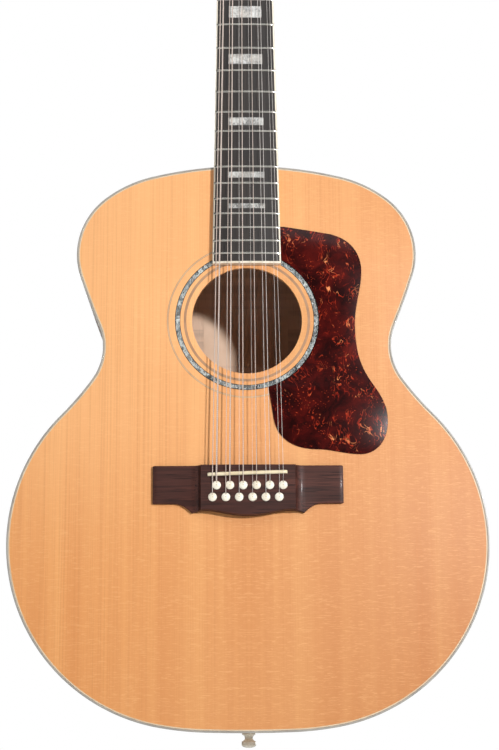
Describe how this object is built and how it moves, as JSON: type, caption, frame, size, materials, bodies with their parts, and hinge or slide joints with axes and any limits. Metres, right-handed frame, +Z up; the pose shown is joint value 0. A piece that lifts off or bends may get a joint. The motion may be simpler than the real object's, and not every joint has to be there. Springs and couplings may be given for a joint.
{
  "type": "acoustic guitar",
  "caption": "Jumbo flat-top acoustic guitar with paired steel strings, dark pickguard, pinned bridge and geared tuners whose buttons turn the string posts.",
  "frame": {"origin": "middle of the end pin's head, on the pin's axis at the tail of the body", "axes": "+Z up the neck from the tail to the headstock, -Y out of the soundboard, +X to the treble side"},
  "size_m": [0.428, 0.134, 1.0888],
  "materials": {
    "spruce_top": "gloss lacquer over pale straight-grained spruce",
    "rosewood": "dark streaked rosewood, gloss lacquered on the headstock and oiled on the bridge",
    "mahogany": "satin lacquer on the neck; bare on the inner blocks",
    "ebony": "oiled, near black",
    "lining_wood": "bare kerfed lining",
    "brace_spruce": "bare spruce",
    "maple": "figured maple, amber gloss lacquer outside and bare inside the body",
    "ivoroid": "polished cream plastic",
    "bone": "polished bone or a bone substitute",
    "pearl": "polished mother-of-pearl",
    "shell": "polished abalone shell with thin dark and light lines",
    "tortoiseshell": "polished dark red tortoiseshell-pattern plastic",
    "black_plastic": "polished black plastic",
    "nickel_silver": "polished nickel silver",
    "steel": "plain steel bar",
    "string_steel": "bare drawn steel",
    "string_bronze": "bronze winding",
    "string_brass": "turned brass",
    "gold_plate": "polished gold-coloured plating",
    "rod_brass": "turned brass"
  },
  "bodies": {
    "guitar": {"soundboard": "spruce_top", "back": "maple", "side_bass": "maple", "side_treble": "maple", "top_binding": "ivoroid", "back_binding": "ivoroid", "top_lining": "lining_wood", "back_lining": "lining_wood", "head_block": "mahogany", "tail_block": "mahogany", "top_braces": "brace_spruce", "back_braces": "brace_spruce", "bridge_plate": "maple", "neck": "mahogany", "headstock_veneer": "rosewood", "fingerboard": "ebony", "fingerboard_binding": "ivoroid", "frets": "nickel_silver", "position_markers": "pearl", "nut": "bone", "truss_rod": "steel", "truss_rod_cover": "black_plastic", "small_screws": "gold_plate", "rosette": "shell", "pickguard": "tortoiseshell", "bridge": "rosewood", "saddle": "bone", "bridge_pins": "ivoroid", "plain_strings": "string_steel", "wound_strings": "string_bronze", "string_ball_ends": "string_brass", "end_pin": "ivoroid", "heel_cap": "ivoroid", "tuner_housings": "gold_plate", "tuner_bushings": "gold_plate"},
    "tuner_button_1": {"tuner_button_1": "gold_plate"},
    "tuner_post_1": {"tuner_post_1": "gold_plate"},
    "tuner_button_2": {"tuner_button_2": "gold_plate"},
    "tuner_post_2": {"tuner_post_2": "gold_plate"},
    "tuner_button_3": {"tuner_button_3": "gold_plate"},
    "tuner_post_3": {"tuner_post_3": "gold_plate"},
    "tuner_button_4": {"tuner_button_4": "gold_plate"},
    "tuner_post_4": {"tuner_post_4": "gold_plate"},
    "tuner_button_5": {"tuner_button_5": "gold_plate"},
    "tuner_post_5": {"tuner_post_5": "gold_plate"},
    "tuner_button_6": {"tuner_button_6": "gold_plate"},
    "tuner_post_6": {"tuner_post_6": "gold_plate"},
    "tuner_button_7": {"tuner_button_7": "gold_plate"},
    "tuner_post_7": {"tuner_post_7": "gold_plate"},
    "tuner_button_8": {"tuner_button_8": "gold_plate"},
    "tuner_post_8": {"tuner_post_8": "gold_plate"},
    "tuner_button_9": {"tuner_button_9": "gold_plate"},
    "tuner_post_9": {"tuner_post_9": "gold_plate"},
    "tuner_button_10": {"tuner_button_10": "gold_plate"},
    "tuner_post_10": {"tuner_post_10": "gold_plate"},
    "tuner_button_11": {"tuner_button_11": "gold_plate"},
    "tuner_post_11": {"tuner_post_11": "gold_plate"},
    "tuner_button_12": {"tuner_button_12": "gold_plate"},
    "tuner_post_12": {"tuner_post_12": "gold_plate"},
    "truss_rod_nut": {"truss_rod_nut": "rod_brass"}
  },
  "joints": [
    {"name": "button_turn_1", "type": "hinge", "parent": "guitar", "child": "tuner_button_1", "pos_m": [-0.02538, -0.03148, 0.92902], "axis": [1, 0, 0], "continuous": true},
    {"name": "post_turn_1", "type": "hinge", "parent": "guitar", "child": "tuner_post_1", "pos_m": [-0.02538, -0.05068, 0.92692], "axis": [0, -0.9659, 0.2588], "continuous": true},
    {"name": "button_turn_2", "type": "hinge", "parent": "guitar", "child": "tuner_button_2", "pos_m": [-0.02601, -0.02449, 0.9551], "axis": [1, 0, 0], "continuous": true},
    {"name": "post_turn_2", "type": "hinge", "parent": "guitar", "child": "tuner_post_2", "pos_m": [-0.02601, -0.04369, 0.953], "axis": [0, -0.9659, 0.2588], "continuous": true},
    {"name": "button_turn_3", "type": "hinge", "parent": "guitar", "child": "tuner_button_3", "pos_m": [-0.02665, -0.01751, 0.98118], "axis": [1, 0, 0], "continuous": true},
    {"name": "post_turn_3", "type": "hinge", "parent": "guitar", "child": "tuner_post_3", "pos_m": [-0.02665, -0.03671, 0.97908], "axis": [0, -0.9659, 0.2588], "continuous": true},
    {"name": "button_turn_4", "type": "hinge", "parent": "guitar", "child": "tuner_button_4", "pos_m": [-0.02728, -0.01052, 1.00726], "axis": [1, 0, 0], "continuous": true},
    {"name": "post_turn_4", "type": "hinge", "parent": "guitar", "child": "tuner_post_4", "pos_m": [-0.02728, -0.02972, 1.00516], "axis": [0, -0.9659, 0.2588], "continuous": true},
    {"name": "button_turn_5", "type": "hinge", "parent": "guitar", "child": "tuner_button_5", "pos_m": [-0.02792, -0.00353, 1.03334], "axis": [1, 0, 0], "continuous": true},
    {"name": "post_turn_5", "type": "hinge", "parent": "guitar", "child": "tuner_post_5", "pos_m": [-0.02792, -0.02273, 1.03124], "axis": [0, -0.9659, 0.2588], "continuous": true},
    {"name": "button_turn_6", "type": "hinge", "parent": "guitar", "child": "tuner_button_6", "pos_m": [-0.02855, 0.00346, 1.05942], "axis": [1, 0, 0], "continuous": true},
    {"name": "post_turn_6", "type": "hinge", "parent": "guitar", "child": "tuner_post_6", "pos_m": [-0.02855, -0.01574, 1.05732], "axis": [0, -0.9659, 0.2588], "continuous": true},
    {"name": "button_turn_7", "type": "hinge", "parent": "guitar", "child": "tuner_button_7", "pos_m": [0.02855, 0.00346, 1.05942], "axis": [1, 0, 0], "continuous": true},
    {"name": "post_turn_7", "type": "hinge", "parent": "guitar", "child": "tuner_post_7", "pos_m": [0.02855, -0.01574, 1.05732], "axis": [0, -0.9659, 0.2588], "continuous": true},
    {"name": "button_turn_8", "type": "hinge", "parent": "guitar", "child": "tuner_button_8", "pos_m": [0.02792, -0.00353, 1.03334], "axis": [1, 0, 0], "continuous": true},
    {"name": "post_turn_8", "type": "hinge", "parent": "guitar", "child": "tuner_post_8", "pos_m": [0.02792, -0.02273, 1.03124], "axis": [0, -0.9659, 0.2588], "continuous": true},
    {"name": "button_turn_9", "type": "hinge", "parent": "guitar", "child": "tuner_button_9", "pos_m": [0.02728, -0.01052, 1.00726], "axis": [1, 0, 0], "continuous": true},
    {"name": "post_turn_9", "type": "hinge", "parent": "guitar", "child": "tuner_post_9", "pos_m": [0.02728, -0.02972, 1.00516], "axis": [0, -0.9659, 0.2588], "continuous": true},
    {"name": "button_turn_10", "type": "hinge", "parent": "guitar", "child": "tuner_button_10", "pos_m": [0.02665, -0.01751, 0.98118], "axis": [1, 0, 0], "continuous": true},
    {"name": "post_turn_10", "type": "hinge", "parent": "guitar", "child": "tuner_post_10", "pos_m": [0.02665, -0.03671, 0.97908], "axis": [0, -0.9659, 0.2588], "continuous": true},
    {"name": "button_turn_11", "type": "hinge", "parent": "guitar", "child": "tuner_button_11", "pos_m": [0.02601, -0.02449, 0.9551], "axis": [1, 0, 0], "continuous": true},
    {"name": "post_turn_11", "type": "hinge", "parent": "guitar", "child": "tuner_post_11", "pos_m": [0.02601, -0.04369, 0.953], "axis": [0, -0.9659, 0.2588], "continuous": true},
    {"name": "button_turn_12", "type": "hinge", "parent": "guitar", "child": "tuner_button_12", "pos_m": [0.02538, -0.03148, 0.92902], "axis": [1, 0, 0], "continuous": true},
    {"name": "post_turn_12", "type": "hinge", "parent": "guitar", "child": "tuner_post_12", "pos_m": [0.02538, -0.05068, 0.92692], "axis": [0, -0.9659, 0.2588], "continuous": true},
    {"name": "truss_rod_adjust", "type": "hinge", "parent": "guitar", "child": "truss_rod_nut", "pos_m": [0, -0.0547, 0.89864], "axis": [0, 0, 1], "range_deg": [-180, 180]}
  ],
  "couplings": [
    {"joint": "post_turn_1", "follows": "button_turn_1", "ratio": -0.071429},
    {"joint": "post_turn_2", "follows": "button_turn_2", "ratio": -0.071429},
    {"joint": "post_turn_3", "follows": "button_turn_3", "ratio": -0.071429},
    {"joint": "post_turn_4", "follows": "button_turn_4", "ratio": -0.071429},
    {"joint": "post_turn_5", "follows": "button_turn_5", "ratio": -0.071429},
    {"joint": "post_turn_6", "follows": "button_turn_6", "ratio": -0.071429},
    {"joint": "post_turn_7", "follows": "button_turn_7", "ratio": 0.071429},
    {"joint": "post_turn_8", "follows": "button_turn_8", "ratio": 0.071429},
    {"joint": "post_turn_9", "follows": "button_turn_9", "ratio": 0.071429},
    {"joint": "post_turn_10", "follows": "button_turn_10", "ratio": 0.071429},
    {"joint": "post_turn_11", "follows": "button_turn_11", "ratio": 0.071429},
    {"joint": "post_turn_12", "follows": "button_turn_12", "ratio": 0.071429}
  ]
}
